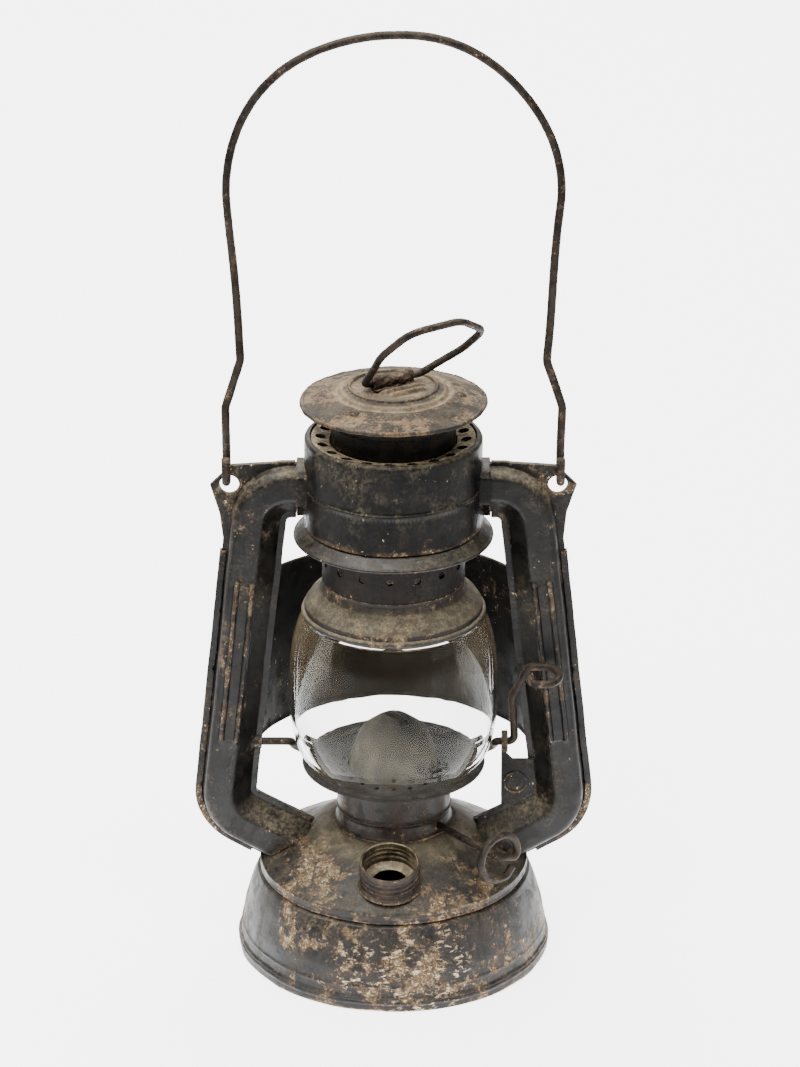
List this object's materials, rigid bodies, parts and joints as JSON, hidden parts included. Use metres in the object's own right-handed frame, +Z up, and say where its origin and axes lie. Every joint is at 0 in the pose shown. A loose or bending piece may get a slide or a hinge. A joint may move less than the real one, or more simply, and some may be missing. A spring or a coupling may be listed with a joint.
{
  "type": "oil lamp",
  "caption": "Portable wick oil lamp with side air tubes, glass globe, sliding chimney and wire carrying handle.",
  "frame": {"origin": "centre of the ring that the base stands on", "axes": "+Z up along the lamp's middle line, +X towards the lift lever, -Y towards the filler neck"},
  "size_m": [0.1518, 0.1206, 0.3643],
  "materials": {
    "black_paint": "old black lacquer, chipped and dusty",
    "worn_tank_paint": "black lacquer worn through to brown primer and steel",
    "rusty_steel": "paint burnt off, dull brown rust and dust",
    "bare_wire": "dull dark steel wire, light rust",
    "burner_brass": "dull sooty brass",
    "tinned_neck": "dull tinned steel",
    "globe_glass": "clear glass, slightly smoky",
    "wick_cotton": "woven cotton, charred at the top",
    "spring_steel": "dull spring wire"
  },
  "bodies": {
    "frame": {"tank_bottom": "worn_tank_paint", "tank_skirt": "worn_tank_paint", "tank_top": "worn_tank_paint", "filler_neck": "tinned_neck", "burner_collar": "black_paint", "burner_body": "burner_brass", "air_plate": "burner_brass", "wick_tube": "burner_brass", "burner_cone": "burner_brass", "left_tube_front": "black_paint", "left_tube_rear": "black_paint", "right_tube_front": "black_paint", "right_tube_rear": "black_paint", "left_tube_collar": "black_paint", "right_tube_collar": "black_paint", "air_drum": "black_paint", "drum_flange": "black_paint", "perforated_ring": "rusty_steel", "reflector": "black_paint", "reflector_clips": "black_paint", "lift_bracket": "black_paint", "chimney_spring": "spring_steel"},
    "globe_carrier": {"globe_plate": "black_paint", "glass_globe": "globe_glass"},
    "chimney": {"globe_bell": "black_paint", "chimney_neck": "black_paint", "chimney_tube": "rusty_steel", "spring_seat": "spring_steel", "cap_legs": "rusty_steel", "chimney_cap": "rusty_steel", "cap_rivets": "rusty_steel", "ring_strap": "rusty_steel"},
    "pull_ring": {"lift_ring": "bare_wire"},
    "lift_lever": {"lift_wire": "bare_wire"},
    "winder": {"wick_knob": "bare_wire", "star_wheels": "burner_brass"},
    "wick_slide": {"wick": "wick_cotton"},
    "bail_wire": {"bail": "bare_wire"}
  },
  "joints": [
    {"name": "globe_lift", "type": "slide", "parent": "frame", "child": "globe_carrier", "axis": [0, 0, 1], "range_m": [0, 0.009]},
    {"name": "chimney_pull", "type": "slide", "parent": "globe_carrier", "child": "chimney", "axis": [0, 0, 1], "range_m": [0, 0.012], "stiffness_N_per_m": 120, "springref_m": -0.012, "deforming": ["chimney_spring"]},
    {"name": "ring_fold", "type": "hinge", "parent": "chimney", "child": "pull_ring", "pos_m": [-0.0005, 0.0018, 0.2315], "axis": [0.8678, 0.497, 0], "range_deg": [-130, 38]},
    {"name": "lever_press", "type": "hinge", "parent": "frame", "child": "lift_lever", "pos_m": [0, 0, 0.0841], "axis": [1, 0, 0], "range_deg": [0, 33.1]},
    {"name": "winder_turn", "type": "hinge", "parent": "frame", "child": "winder", "pos_m": [0.00365, 0.00306, 0.055], "axis": [0.6428, -0.766, 0], "range_deg": [-88, 59]},
    {"name": "wick_rise", "type": "slide", "parent": "frame", "child": "wick_slide", "axis": [0, 0, 1], "range_m": [-0.0041, 0.0061]},
    {"name": "carrying_wire_swing", "type": "hinge", "parent": "frame", "child": "bail_wire", "pos_m": [0, 0, 0.1957], "axis": [1, 0, 0], "range_deg": [-100, 100]}
  ],
  "couplings": [
    {"joint": "lever_press", "follows": "globe_lift", "rad_per_m": 63.99},
    {"joint": "wick_rise", "follows": "winder_turn", "m_per_rad": -0.0039}
  ]
}
